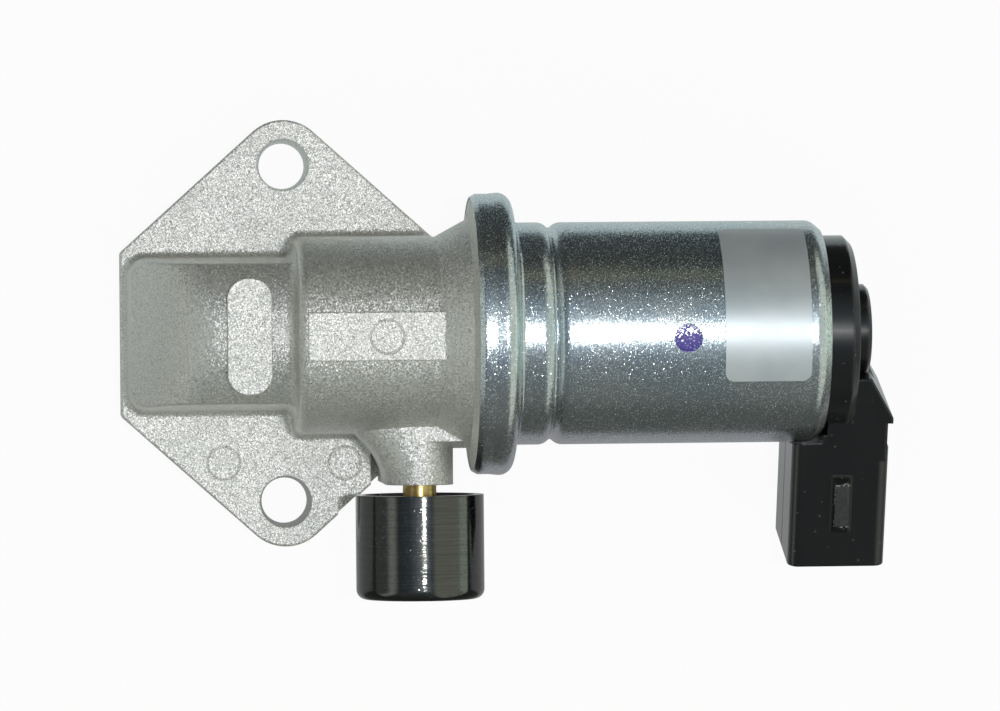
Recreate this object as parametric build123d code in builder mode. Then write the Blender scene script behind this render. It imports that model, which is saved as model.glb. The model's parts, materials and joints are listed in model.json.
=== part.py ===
import os
from math import atan, cos, degrees, radians, sin, sqrt

from build123d import *

# An idle air control valve: a cast body with two air ports in its mounting flange, and a
# solenoid in a plated steel can that draws a poppet off its seat to let air pass.
# Millimetres. The origin is on the mounting face, midway between the two bolt holes.
# +X runs along the solenoid towards its connector, +Z points away from the engine.

# Mounting flange
axis_height = 26.0  # solenoid axis above the mounting face
axis_y = -0.4  # solenoid axis, a little below the line between the bolts
bolt_pitch = 58.4
bolt_hole_r = 4.0
bolt_hole_draft = 0.5  # growth of the hole's radius up to the top face
bolt_parallel = 3.0  # straight part of the hole, from the mounting face
ear_wall = 3.8
flange_length = 56.8
flange_end_width = 28.4
flange_thick = 10.0
flange_corner_r = 0.8
flange_edge_r = 0.45
cut_past = 1.0  # how far a cutting shape starts outside the part

# Step that clears the vent cap, in the upper layer of the flange
step_x = 14.8
step_y = 18.4
notch_x = 9.05
notch_y = 28.5
step_floor = 4.0

# Inlet duct, the low box at the left
cast_wall = 3.0
duct_inset = 1.1  # duct's left side from the flange's end
duct_step = 3.25  # how far the barrel stands out past the duct on each side
duct_draft = 4.5  # degrees
duct_corner_r = 3.5
duct_shoulder = 19.5  # height of the left edge of the roof
duct_roof = 33.0
roof_crest_x = -7.0  # where the sloped roof has levelled out
roof_left_r = 80.0  # crown from side to side, at the left edge and beyond the crest
roof_right_r = 16.5
# Stations along the roof: shares of its run, of its rise and of the change in its crown
roof_line = (
    (-0.08, -0.15, 0.0), (0.2, 0.33, 0.36), (0.45, 0.76, 0.72), (0.7, 0.955, 0.93),
    (1.0, 1.0, 1.0), (1.7, 1.0, 1.0),
)
roof_lead = 0.75  # how far the inside's slope lies to the right, for each mm of wall
duct_edge_r = 0.7
pad_left = -10.5
pad_right = -3.0
pad_length = 19.6
pad_height = 1.0
pad_corner_r = 3.45
pad_centre_y = -0.5

# Barrel and cone, which lead to the joint with the solenoid
barrel_r = 16.65
barrel_left = 1.4
barrel_spread = 0.7  # how far each side wall leans out by the time it meets the flange
barrel_edge_r = 1.4
rib_left = 2.8
rib_right = 25.8
rib_top_y = 3.4
rib_bottom_y = -4.65
rib_height = 0.35  # above the barrel
cone_left = 25.0
cone_right = 30.5
cone_growth = 3.0
disc_thick = 3.7
disc_rim = 4.1  # how far the disc stands above the cone
disc_flank = 0.8  # length of the disc's sloped left side
disc_corner = 0.5
disc_land = 1.2  # length of the bare rim, left of the can's lip
root_r = 1.3  # where the duct and the barrel stand on the flange
inner_corner_r = 2.0  # between the duct's sides and the barrel's front
mark_r = 2.95  # round witness marks of the casting's ejector pins
mark_width = 0.25
mark_depth = 0.15
rib_mark = (16.0, -0.7)
flange_mark_1 = (10.3, -22.6)
flange_mark_2 = (-10.7, -22.4)

# Ports, valve bore and seat
port_centre = 13.0
port_length = 16.0
port_width = 18.0
port_corner_r = 4.0
bore_wall = 3.65
bore_left = 3.5
bore_shoulder_x = 24.0
counterbore_step = 0.9
seat_bore_r = 5.5
seat_land = 1.3
seat_height = 0.8
joint_recess_drop = 5.75  # the recess's wall in from the disc's rim
joint_recess_depth = 1.6

# Vent boss, tube, cap and filter
boss_x = 22.2
boss_r = 5.75
boss_end_y = -26.0
web_left = 20.6
web_reach = 1.55  # how far the web stands out below the barrel
web_swell = 1.25  # how far it stands out further at its middle height
flare_lead = 3.0  # root of the flare inside the barrel
# Stations down the boss: share of the way to its end, and the flare's width in boss radii
flare_line = ((0.0, 2.2), (0.3, 1.6), (0.55, 1.24), (0.78, 1.06), (1.0, 1.0))
tube_r = 2.87
tube_bore_r = 1.6
tube_seat_depth = 5.0
tube_chamfer = 0.3
tube_reach = 9.0  # length of the tube outside the boss
gallery_r = 1.0
gallery_inset = 0.05  # the gallery's axis in from the barrel's wall
vent_cap_r = 10.95
vent_cap_top_y = -27.7
vent_hub_top_y = -29.5
vent_cap_bottom_y = -45.5
vent_cap_wall = 1.6
vent_cap_edge_r = 1.7
vent_hub_wall = 1.5
vent_window_width = 1.8
vent_window_height = 4.0
filter_clear = 0.15
filter_recess = 0.3

# Poppet, shaft and the plate that guides them
shaft_r = 2.0
shaft_chamfer = 0.4
shaft_left = 1.6
shaft_right = 50.0
travel = 5.0
poppet_gap = 0.1
poppet_overlap = 1.6  # how far the poppet reaches past the seat bore
poppet_thick = 2.2
poppet_hub_r = 3.4
poppet_length = 6.5
poppet_back = 0.8  # slope behind the sealing disc
poppet_chamfer = 0.5
clip_r = 3.6
clip_thick = 0.8
clip_groove_depth = 0.4
clip_notch_r = 0.8
guide_plate_thick = 2.5
guide_clear = 0.05
guide_hub_r = 5.2
guide_fillet_r = 0.8
guide_hub_left = 20.5
guide_hub_right = 29.0
bush_wall = 1.2
bush_clear = 0.03
bush_chamfer = 0.3
ring_thick = 1.2
ring_groove_depth = 0.8
ring_width = 2.0

# Solenoid can
can_over_barrel = 2.35  # the can's radius over the barrel's
can_wall = 1.2
lip_stand = 0.1  # the lip above the disc's rim
can_bead_x = 37.1
bead_over_disc = 0.55  # the bead's radius over the disc's
can_tube_left = 38.0
groove_x = 44.5
groove_depth = 1.4
can_reach = 3.0  # straight can behind the rear pole plate
can_curl_length = 1.5
can_curl = 1.25
bead_corner_r = 1.7
groove_shoulder_r = 1.8
curl_r = 1.6

# Magnetic circuit and coil
pole_rim_inset = 1.55  # in from the disc's rim
pole_rim_drop = 2.0  # how far in from its rim the plate meets the bead's flank
spigot_right = 42.0
can_fit = 0.1
sleeve_bore_r = 6.8
sleeve_wall = 0.6
armature_clear = 0.05
armature_left = 38.6
armature_right = 57.0
armature_end_gap = 0.6
pole_chamfer = 0.5
plate_floor = 3.0  # steel left in front of the sleeve
shaft_hole_clear = 1.0
breather_r = 1.1
breather_ring_r = 4.9
bobbin_left = 42.8
bobbin_right = 83.1
bobbin_room = 1.8  # gap between the bobbin's flanges and the can
bobbin_flange = 1.6
bobbin_bore_clear = 0.1
bobbin_tube_wall = 1.0
winding_inset = 0.7  # the winding in from the bobbin's flanges
winding_edge_r = 0.6
rear_plate_thick = 3.0
core_collar_r = 8.5
core_collar = 1.2
core_tail = 1.6
spring_bore_r = 3.4
screw_r = 3.9
screw_clear = 0.1
screw_reach = 1.9  # end of the screw behind the rear pole plate
screw_length = 10.4
screw_chamfer = 0.4
screw_slot_width = 1.2
screw_slot_depth = 2.0
spring_wire_r = 0.35
spring_mean_r = 2.75
spring_seat_depth = 4.0
spring_turns = 6
spring_end_gap = 0.05

# Seals
oring_r = 0.66  # as squeezed in its groove
oring_groove_depth = 1.36
oring_groove_width = 2.04
front_oring_inset = 3.35  # the ring's centre line in from the disc's rim
rear_oring_r = 0.8
oring_squeeze = 0.04

# End cap, plug, terminals and diode
cap_step = 2.6  # the cap's radius below the can's
cap_length = 7.1  # behind the can's straight part
cap_chamfer = 1.2
cap_shoulder = 1.0
cap_wall = 1.5
cap_hub_r = 9.1
cap_hub_bore_r = 7.1
cap_floor = 1.7
plug_r = 8.0
plug_head = 3.1
plug_stem = 4.0
plug_edge_r = 0.6
plug_room = 0.3  # gap between the plug and the connector's neck
clocking = 20.7  # degrees the connector leans away from square

# Connector, placed along the solenoid from the cap's rear face and out from its axis
neck_front = 4.2
neck_back = 7.1
neck_top = 5.3
neck_knee = 12.5
neck_foot = 15.1
neck_edge_r = 0.9
notch_back = 6.2
notch_end = 18.4
shroud_front = 10.0
shroud_back = 6.7
shroud_top = 15.5
shroud_mouth = 39.95
shroud_room = 0.3  # gap between the can and the shroud
shroud_half_depth = 9.5
shroud_corner_r = 1.8
shroud_wall = 2.0
socket_depth = 15.0
latch_height = 2.0
latch_front = 3.1
latch_back = 0.35
latch_start = 22.6
latch_end = 34.6
latch_top_start = 24.3
latch_top_end = 31.6
latch_side_slope = 0.5
blade_width = 2.8
blade_thick = 0.8
blade_pitch = 6.0
blade_recess = 3.0  # blade tip inside the mouth
blade_point = 1.0
blade_tip_width = 1.6
arm_front = 7.4
arm_start = 12.2
arm_end = 14.2
lead_r = 0.4
lead_hole_clear = 0.6
diode_r = 1.2
diode_length = 3.2
diode_front = 5.6
diode_lead_r = 0.3

# Label
label_gap = 1.7  # in front of the can's curled end
label_width = 14.6
label_thick = 0.12
label_top_angle = 66.0
label_bottom_angle = -26.0
label_corner_r = 1.6

# Places that follow from the sizes above
duct_left = duct_inset - flange_length / 2
duct_half_width = barrel_r - duct_step
bolt_y = bolt_pitch / 2
ear_r = bolt_hole_r + ear_wall
cone_r = barrel_r + cone_growth
disc_r = cone_r + disc_rim
joint_x = cone_right + disc_thick
land_right = cone_right + disc_flank + disc_corner + disc_land
side_foot = barrel_r + barrel_spread
bore_r = barrel_r - bore_wall
counterbore_r = bore_r + counterbore_step
joint_recess_r = disc_r - joint_recess_drop
gallery_y = axis_y - barrel_r + gallery_inset
web_edge_y = axis_y - barrel_r - web_reach
seat_face_x = bore_left + seat_height
poppet_left = seat_face_x + poppet_gap
poppet_r = seat_bore_r + poppet_overlap
can_r = barrel_r + can_over_barrel
can_bore_r = can_r - can_wall
can_mid_r = can_r - can_wall / 2
lip_mid_r = disc_r + lip_stand - can_wall / 2
lip_left = land_right + can_fit
bead_mid_r = disc_r + bead_over_disc - can_wall / 2
lip_lean = (bead_mid_r - lip_mid_r) / (can_bead_x - lip_left)
bead_lean = (can_tube_left - can_bead_x) / (bead_mid_r - can_mid_r)
pole_rim_r = disc_r - pole_rim_inset
front_oring_ring_r = disc_r - front_oring_inset
bead_inside_x = can_bead_x - can_wall / 2 * sqrt(1 + bead_lean**2)
pole_rim_right = bead_inside_x + bead_lean * (bead_mid_r - pole_rim_r + pole_rim_drop) - can_fit
core_left = armature_right + travel + armature_end_gap
bobbin_flange_r = can_bore_r - bobbin_room
winding_r = bobbin_flange_r - winding_inset
rear_plate_right = bobbin_right + rear_plate_thick
core_right = rear_plate_right + core_collar + core_tail
screw_right = rear_plate_right + screw_reach
screw_left = screw_right - screw_length
can_rear_x = rear_plate_right + can_reach
can_end_x = can_rear_x + can_curl_length
cap_r = can_r - cap_step
cap_rear_x = can_rear_x + cap_length
plug_end_x = cap_rear_x + plug_head
neck_left = cap_rear_x - neck_front
neck_right = cap_rear_x + neck_back
notch_right = cap_rear_x + notch_back
shroud_left = cap_rear_x - shroud_front
shroud_right = cap_rear_x + shroud_back
latch_left = cap_rear_x - latch_front
latch_right = cap_rear_x + latch_back
arm_left = cap_rear_x - arm_front
diode_x = cap_rear_x - diode_front
label_right = can_rear_x - label_gap
label_left = label_right - label_width
sleeve_r = sleeve_bore_r + sleeve_wall
blade_x = (shroud_left + shroud_right) / 2
lead_height = (arm_start + arm_end) / 2
solenoid_axis = Axis((0, axis_y, axis_height), (1, 0, 0))
vent_axis = Axis((boss_x, 0, axis_height), (0, -1, 0))
clock_sin = sin(radians(clocking))
clock_cos = cos(radians(clocking))

# Half section through the solenoid axis: x along it, y outward
half_section = Plane(origin=(0, axis_y, axis_height), x_dir=(1, 0, 0), z_dir=(0, -1, 0))
# Half section through the vent axis: x outward, y down the tube
vent_section = Plane(origin=(boss_x, 0, axis_height), x_dir=(1, 0, 0), z_dir=(0, 0, -1))
# Looking down the connector towards its mouth: x along the solenoid, y towards the latch
connector = Plane(
    origin=(0, axis_y, axis_height), x_dir=(1, 0, 0), z_dir=(0, -clock_cos, -clock_sin)
)
# Side view of the connector: x along the solenoid, y towards its mouth
connector_side = Plane(
    origin=(0, axis_y, axis_height), x_dir=(1, 0, 0), z_dir=(0, clock_sin, -clock_cos)
)
# Front view of the connector: x along the solenoid, y away from its mouth
connector_front = Plane(
    origin=(0, axis_y, axis_height), x_dir=(1, 0, 0), z_dir=(0, -clock_sin, clock_cos)
)


def station(x):
    """Plane across the solenoid axis at x."""
    return Plane(origin=(x, axis_y, axis_height), x_dir=(0, 1, 0), z_dir=(1, 0, 0))


os.makedirs("parts", exist_ok=True)


def finish(builder, name):
    """Label a finished piece and write it."""
    builder.part.label = name
    export_step(builder.part, f"parts/{name}.step")


def roof(inset):
    """Space under the duct's roof, which slopes at the left and is crowned from side to side."""
    half = duct_half_width + duct_edge_r - inset
    rise = duct_roof - duct_shoulder
    with BuildPart() as form:
        for share_x, share_z, share_r in roof_line:
            x = duct_left + inset * roof_lead + share_x * (roof_crest_x - duct_left)
            top = duct_shoulder + share_z * rise - inset
            radius = roof_left_r * (roof_right_r / roof_left_r) ** share_r - inset
            drop = radius - sqrt(radius**2 - half**2)
            with BuildSketch(Plane.YZ.offset(x)):
                with BuildLine():
                    Polyline(
                        (-half, top - drop), (-half, -cut_past), (half, -cut_past),
                        (half, top - drop),
                    )
                    ThreePointArc((half, top - drop), (0, top), (-half, top - drop))
                make_face()
        loft()
    return form.part


outer_roof = roof(0)
inner_roof = roof(cast_wall)

with BuildPart() as duct:
    duct_length = barrel_left + cast_wall - duct_left
    with BuildSketch(Plane.XY.offset(flange_thick)) as duct_plan:
        with Locations((duct_left, 0)):
            Rectangle(duct_length, 2 * duct_half_width, align=(Align.MIN, Align.CENTER))
        fillet(duct_plan.vertices().group_by(Axis.X)[0], duct_corner_r)
    extrude(amount=duct_roof, taper=duct_draft)
    add(outer_roof, mode=Mode.INTERSECT)
    top_face = duct.faces().sort_by(Axis.Z)[-1]
    roof_edges = top_face.edges().filter_by(lambda e: e.center().X < barrel_left)
    fillet(roof_edges, duct_edge_r)

with BuildPart() as port_core:
    with BuildSketch(Plane.XY.offset(-cut_past)):
        with Locations((-port_centre, 0)):
            RectangleRounded(port_length, port_width, port_corner_r)
    extrude(amount=duct_roof)
    add(inner_roof, mode=Mode.INTERSECT)

with BuildPart() as barrel:
    barrel_bottom = flange_thick / 2 - axis_height
    with BuildSketch(station(barrel_left)):
        with BuildLine():
            Polyline(
                (barrel_r, 0), (side_foot, barrel_bottom), (-side_foot, barrel_bottom),
                (-barrel_r, 0),
            )
            ThreePointArc((-barrel_r, 0), (0, barrel_r), (barrel_r, 0))
        make_face()
    extrude(amount=cone_left - barrel_left)
    front = barrel.faces().sort_by(Axis.X)[0]
    fillet(front.edges().filter_by(lambda e: e.center().Z > flange_thick), barrel_edge_r)

# Plan of the flange, and the space above it that its low corner leaves
with BuildSketch() as flange_plan:
    with Locations((0, bolt_y), (0, -bolt_y)):
        Circle(ear_r)
    Rectangle(flange_length, flange_end_width)
    make_hull(flange_plan.edges())
with BuildPart() as low_corner:
    with BuildSketch(Plane.XY.offset(step_floor)):
        for corner in ((step_x, -step_y), (notch_x, -notch_y)):
            with Locations(corner):
                Rectangle(flange_length, flange_length, align=(Align.MIN, Align.MAX))
    extrude(amount=flange_thick)

# Duct and barrel on a wide slab, filleted where they stand on it, then cut to the flange's plan
with BuildPart() as root:
    with BuildSketch(Plane.XY.offset(flange_thick)):
        Rectangle(3 * flange_length, 3 * flange_length)
    extrude(amount=-cast_wall)
    add(duct.part)
    add(barrel.part)
    duct_corners = root.edges().filter_by(
        lambda e: abs(e.center().X - barrel_left) < 0.05
        and flange_thick < e.center().Z < duct_roof
        and abs(e.center().Y) < duct_half_width + duct_edge_r
        and e.bounding_box().size.Z > inner_corner_r
    )
    fillet(duct_corners, inner_corner_r)
    root_edges = root.edges().filter_by(
        lambda e: e.bounding_box().size.Z < 0.01
        and abs(e.center().Z - flange_thick) < 0.01
        and e.bounding_box().max.X < flange_length
    )
    fillet(root_edges.filter_by(lambda e: e.bounding_box().max.Y < flange_length), root_r)
    with BuildSketch(Plane.XY.offset(flange_thick)):
        add(flange_plan.sketch)
        offset(amount=-flange_edge_r)
    extrude(amount=2 * axis_height, mode=Mode.INTERSECT)
    add(low_corner.part, mode=Mode.SUBTRACT)

# The casting, one piece with its flange, duct, barrel, cone, joint disc, web and vent boss
with BuildPart() as valve_body:
    with BuildSketch():
        add(flange_plan.sketch)
    extrude(amount=flange_thick)
    end_corners = valve_body.edges().filter_by(Axis.Z).filter_by(
        lambda e: abs(e.center().X) > flange_length / 2 - 0.01
    )
    fillet(end_corners, flange_corner_r)
    fillet(valve_body.faces().sort_by(Axis.Z)[-1].outer_wire().edges(), flange_edge_r)
    add(low_corner.part, mode=Mode.SUBTRACT)
    add(root.part)
    add(barrel.part)
    with BuildSketch(half_section):
        with BuildLine():
            shoulder_r = lip_mid_r - can_wall / 2 - can_fit
            flank_right = cone_right + disc_flank
            Polyline(
                (cone_left, 0), (cone_left, barrel_r), (cone_right, cone_r),
                (flank_right, disc_r - disc_corner), (flank_right + disc_corner, disc_r),
                (land_right, disc_r), (land_right, shoulder_r),
                (joint_x, shoulder_r + (joint_x - land_right) * lip_lean), (joint_x, 0),
                (cone_left, 0),
            )
        make_face()
    revolve(axis=solenoid_axis)

    # Vent boss, its web and the flare that blends it into the barrel
    boss_root_y = gallery_y + gallery_r
    with BuildSketch(Plane.XZ.offset(-boss_root_y)):
        with Locations((boss_x, axis_height)):
            Circle(boss_r)
    extrude(amount=boss_root_y - boss_end_y)
    with BuildSketch(Plane.YZ.offset(web_left)):
        with BuildLine():
            Polyline(
                (0, axis_height + boss_r), (web_edge_y, axis_height + boss_r),
                (web_edge_y - web_swell, axis_height), (web_edge_y, axis_height - boss_r),
                (0, axis_height - boss_r), (0, axis_height + boss_r),
            )
        make_face()
    extrude(amount=cone_right - web_left + disc_flank / 2)
    for share, width in flare_line:
        flare_y = web_edge_y + flare_lead - share * (web_edge_y + flare_lead - boss_end_y)
        with BuildSketch(Plane.XZ.offset(-flare_y)):
            with BuildLine():
                left = boss_x - width * boss_r
                Polyline((left, axis_height), (left, step_floor / 2), (boss_x, step_floor / 2))
                Line((boss_x, step_floor / 2), (boss_x, axis_height + boss_r))
                EllipticalCenterArc(
                    (boss_x, axis_height), width * boss_r, boss_r, start_angle=90, arc_size=90
                )
            make_face()
    loft()

    # Flat rib along the barrel and flat pad on the duct
    rib_root = bore_wall / 2
    with BuildSketch(Plane.XY.offset(axis_height + barrel_r - rib_root)):
        with Locations((rib_left, rib_bottom_y)):
            Rectangle(rib_right - rib_left, rib_top_y - rib_bottom_y, align=(Align.MIN, Align.MIN))
    extrude(amount=rib_root + rib_height)
    with BuildSketch(Plane.XY.offset(duct_roof - cast_wall)):
        with Locations(((pad_left + pad_right) / 2, pad_centre_y)):
            pad_width = pad_right - pad_left
            RectangleRounded(pad_width, pad_length, pad_corner_r)
    extrude(amount=cast_wall + pad_height)
    rib_level = axis_height + barrel_r + rib_height
    for place in (
        (*rib_mark, rib_level), (*flange_mark_1, flange_thick), (*flange_mark_2, flange_thick),
    ):
        with BuildSketch(Plane(place)):
            Circle(mark_r)
            Circle(mark_r - mark_width, mode=Mode.SUBTRACT)
        extrude(amount=-mark_depth, mode=Mode.SUBTRACT)

    # Port ducts, valve bore, seat and joint recess
    add(port_core.part, mode=Mode.SUBTRACT)
    with BuildSketch():
        with Locations((port_centre, 0)):
            RectangleRounded(port_length, port_width, port_corner_r)
    extrude(amount=axis_height, mode=Mode.SUBTRACT)
    with BuildSketch(half_section):
        with BuildLine():
            land_r = seat_bore_r + seat_land
            ring_left = bore_shoulder_x + guide_plate_thick
            ring_right = ring_left + ring_thick
            Polyline(
                (-port_centre, 0), (-port_centre, seat_bore_r), (seat_face_x, seat_bore_r),
                (seat_face_x, land_r), (bore_left, land_r + seat_height), (bore_left, bore_r),
                (bore_shoulder_x, bore_r), (bore_shoulder_x, counterbore_r),
                (ring_left, counterbore_r), (ring_left, counterbore_r + ring_groove_depth),
                (ring_right, counterbore_r + ring_groove_depth), (ring_right, counterbore_r),
                (joint_x - joint_recess_depth, counterbore_r),
                (joint_x - joint_recess_depth, joint_recess_r), (joint_x, joint_recess_r),
                (joint_x, 0), (-port_centre, 0),
            )
        make_face()
    revolve(axis=solenoid_axis, mode=Mode.SUBTRACT)

    # Groove for the joint's O-ring
    with BuildSketch(half_section):
        with Locations((joint_x, front_oring_ring_r)):
            Rectangle(oring_groove_depth, oring_groove_width, align=(Align.MAX, Align.CENTER))
    revolve(axis=solenoid_axis, mode=Mode.SUBTRACT)

    # Vent drilling down the boss, and the gallery that joins it to the recess
    with BuildSketch(Plane.XZ.offset(-boss_end_y)):
        with Locations((boss_x, axis_height)):
            Circle(tube_r)
    extrude(amount=-tube_seat_depth, mode=Mode.SUBTRACT)
    with BuildSketch(Plane.XZ.offset(-boss_end_y)):
        with Locations((boss_x, axis_height)):
            Circle(gallery_r)
    extrude(amount=boss_end_y - gallery_y, mode=Mode.SUBTRACT)
    with BuildSketch(station(joint_x)):
        with Locations((gallery_y - axis_y, 0)):
            Circle(gallery_r)
    extrude(amount=boss_x - joint_x, mode=Mode.SUBTRACT)

    # Bolt holes, parallel at the mounting face and drafted above it
    with BuildSketch():
        with Locations((0, bolt_y), (0, -bolt_y)):
            Circle(bolt_hole_r)
    extrude(amount=bolt_parallel, mode=Mode.SUBTRACT)
    hole_draft = degrees(atan(bolt_hole_draft / (flange_thick - bolt_parallel)))
    with BuildSketch(Plane.XY.offset(bolt_parallel)):
        with Locations((0, bolt_y), (0, -bolt_y)):
            Circle(bolt_hole_r)
    extrude(amount=flange_thick - bolt_parallel, taper=-hole_draft, mode=Mode.SUBTRACT)
finish(valve_body, "valve_body")

# Steel can, rolled from one tube: crimped lip, bead over the joint, locating groove, curled rear
with BuildPart() as solenoid_can:
    with BuildSketch(half_section):
        with BuildLine():
            FilletPolyline(
                (lip_left, lip_mid_r),
                (can_bead_x, bead_mid_r),
                (can_tube_left, can_mid_r),
                (groove_x - groove_depth, can_mid_r),
                (groove_x, can_mid_r - groove_depth),
                (groove_x + groove_depth, can_mid_r),
                (can_rear_x, can_mid_r),
                (can_end_x, can_mid_r - can_curl),
                radius=[
                    bead_corner_r, can_wall, groove_shoulder_r, can_wall, groove_shoulder_r, curl_r,
                ],
            )
        trace(line_width=can_wall)
    revolve(axis=solenoid_axis)
finish(solenoid_can, "solenoid_can")

# Guide plate that closes the air chamber and carries the front bush
with BuildPart() as guide_plate:
    with BuildSketch(half_section):
        with BuildLine():
            plate_left = bore_shoulder_x
            plate_right = plate_left + guide_plate_thick
            plate_r = counterbore_r - guide_clear
            bush_r = shaft_r + bush_clear + bush_wall
            Polyline(
                (guide_hub_left, bush_r), (guide_hub_left, guide_hub_r), (plate_left, guide_hub_r),
                (plate_left, plate_r), (plate_right, plate_r), (plate_right, guide_hub_r),
                (guide_hub_right, guide_hub_r), (guide_hub_right, bush_r), (guide_hub_left, bush_r),
            )
        make_face()
    revolve(axis=solenoid_axis)
    plate_middle = (plate_left + plate_right) / 2
    plate_roots = guide_plate.edges().filter_by(GeomType.CIRCLE).filter_by(
        lambda e: abs(e.radius - guide_hub_r) < 0.01
        and abs(e.center().X - plate_middle) < guide_plate_thick
    )
    fillet(plate_roots, guide_fillet_r)
finish(guide_plate, "guide_plate")

with BuildPart() as front_bush:
    with BuildSketch(station(guide_hub_left)):
        Circle(bush_r)
        Circle(shaft_r + bush_clear, mode=Mode.SUBTRACT)
    extrude(amount=guide_hub_right - guide_hub_left)
    bore_edges = front_bush.edges().filter_by(GeomType.CIRCLE).group_by(SortBy.RADIUS)[0]
    chamfer(bore_edges, bush_chamfer)
finish(front_bush, "front_bush")

# Snap ring that holds the guide plate against the bore's shoulder
with BuildPart() as snap_ring:
    with BuildSketch(station(plate_right)):
        ring_r = counterbore_r + ring_groove_depth - guide_clear
        Circle(ring_r)
        Circle(ring_r - ring_width, mode=Mode.SUBTRACT)
        with Locations((0, ring_r)):
            Rectangle(ring_r / 2, 3 * ring_width, mode=Mode.SUBTRACT)
    extrude(amount=ring_thick - guide_clear)
finish(snap_ring, "snap_ring")

with BuildPart() as front_o_ring:
    with BuildSketch(half_section):
        with Locations((joint_x - oring_groove_depth / 2, front_oring_ring_r)):
            Circle(oring_r)
    revolve(axis=solenoid_axis)
finish(front_o_ring, "front_o_ring")

# Moving parts: shaft, poppet, its clip and the armature
with BuildPart() as valve_shaft:
    clip_right = poppet_left
    clip_left = clip_right - clip_thick
    with BuildSketch(half_section):
        with BuildLine():
            neck_r = shaft_r - clip_groove_depth
            Polyline(
                (shaft_left, 0), (shaft_left, shaft_r - shaft_chamfer),
                (shaft_left + shaft_chamfer, shaft_r),
                (clip_left, shaft_r), (clip_left, neck_r), (clip_right, neck_r), (clip_right, shaft_r),
                (shaft_right - shaft_chamfer, shaft_r), (shaft_right, shaft_r - shaft_chamfer),
                (shaft_right, 0),
                (shaft_left, 0),
            )
        make_face()
    revolve(axis=solenoid_axis)
finish(valve_shaft, "valve_shaft")

with BuildPart() as poppet:
    with BuildSketch(half_section):
        with BuildLine():
            Polyline(
                (poppet_left, shaft_r), (poppet_left, poppet_r),
                (poppet_left + poppet_thick, poppet_r),
                (poppet_left + poppet_thick + poppet_back, poppet_hub_r + poppet_back),
                (poppet_left + poppet_length - poppet_chamfer, poppet_hub_r),
                (poppet_left + poppet_length, poppet_hub_r - poppet_chamfer),
                (poppet_left + poppet_length, shaft_r), (poppet_left, shaft_r),
            )
        make_face()
    revolve(axis=solenoid_axis)
finish(poppet, "poppet")

with BuildPart() as poppet_clip:
    with BuildSketch(station(clip_left)):
        Circle(clip_r)
        Circle(neck_r, mode=Mode.SUBTRACT)
        Rectangle(2 * neck_r, 2 * clip_r, align=(Align.CENTER, Align.MAX), mode=Mode.SUBTRACT)
        with PolarLocations(clip_r, 3, start_angle=90):
            Circle(clip_notch_r, mode=Mode.SUBTRACT)
    extrude(amount=clip_thick)
finish(poppet_clip, "poppet_clip")

with BuildPart() as armature:
    armature_r = sleeve_bore_r - armature_clear
    with BuildSketch(half_section):
        with BuildLine():
            Polyline(
                (armature_left, shaft_r), (armature_left, armature_r - pole_chamfer),
                (armature_left + pole_chamfer, armature_r),
                (armature_right - pole_chamfer, armature_r),
                (armature_right, armature_r - pole_chamfer), (armature_right, spring_bore_r),
                (armature_right - spring_seat_depth, spring_bore_r),
                (armature_right - spring_seat_depth, shaft_r), (armature_left, shaft_r),
            )
        make_face()
    revolve(axis=solenoid_axis)
    with BuildSketch(station(armature_left)):
        with PolarLocations(breather_ring_r, 2):
            Circle(breather_r)
    extrude(amount=armature_right - armature_left, mode=Mode.SUBTRACT)
finish(armature, "armature")

# Front pole plate, trapped between the joint and the bead, with a spigot inside the can
with BuildPart() as front_pole_plate:
    with BuildSketch(half_section):
        with BuildLine():
            spigot_r = can_bore_r - can_fit
            Polyline(
                (joint_x, shaft_r + shaft_hole_clear), (joint_x, pole_rim_r),
                (pole_rim_right - bead_lean * pole_rim_drop, pole_rim_r),
                (pole_rim_right, pole_rim_r - pole_rim_drop),
                (pole_rim_right, spigot_r), (spigot_right, spigot_r), (spigot_right, sleeve_r),
                (joint_x + plate_floor, sleeve_r), (joint_x + plate_floor, shaft_r + shaft_hole_clear),
                (joint_x, shaft_r + shaft_hole_clear),
            )
        make_face()
    revolve(axis=solenoid_axis)
    with BuildSketch(station(joint_x)):
        with PolarLocations(breather_ring_r, 2):
            Circle(breather_r)
    extrude(amount=plate_floor, mode=Mode.SUBTRACT)
finish(front_pole_plate, "front_pole_plate")

# Non-magnetic sleeve that the armature slides in
with BuildPart() as guide_sleeve:
    with BuildSketch(station(joint_x + plate_floor)):
        Circle(sleeve_r)
        Circle(sleeve_bore_r, mode=Mode.SUBTRACT)
    extrude(amount=bobbin_right - joint_x - plate_floor)
finish(guide_sleeve, "guide_sleeve")

with BuildPart() as coil_bobbin:
    bobbin_bore_r = sleeve_r + bobbin_bore_clear
    bobbin_tube_r = bobbin_bore_r + bobbin_tube_wall
    with BuildSketch(half_section):
        with BuildLine():
            Polyline(
                (bobbin_left, bobbin_bore_r), (bobbin_left, bobbin_flange_r),
                (bobbin_left + bobbin_flange, bobbin_flange_r),
                (bobbin_left + bobbin_flange, bobbin_tube_r),
                (bobbin_right - bobbin_flange, bobbin_tube_r),
                (bobbin_right - bobbin_flange, bobbin_flange_r), (bobbin_right, bobbin_flange_r),
                (bobbin_right, bobbin_bore_r), (bobbin_left, bobbin_bore_r),
            )
        make_face()
    revolve(axis=solenoid_axis)
    with BuildSketch(connector_side):
        with Locations((bobbin_right - bobbin_flange, lead_height - lead_r)):
            Rectangle(bobbin_flange, bobbin_flange_r, align=(Align.MIN, Align.MIN))
    extrude(amount=blade_pitch, both=True, mode=Mode.SUBTRACT)
finish(coil_bobbin, "coil_bobbin")

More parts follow.
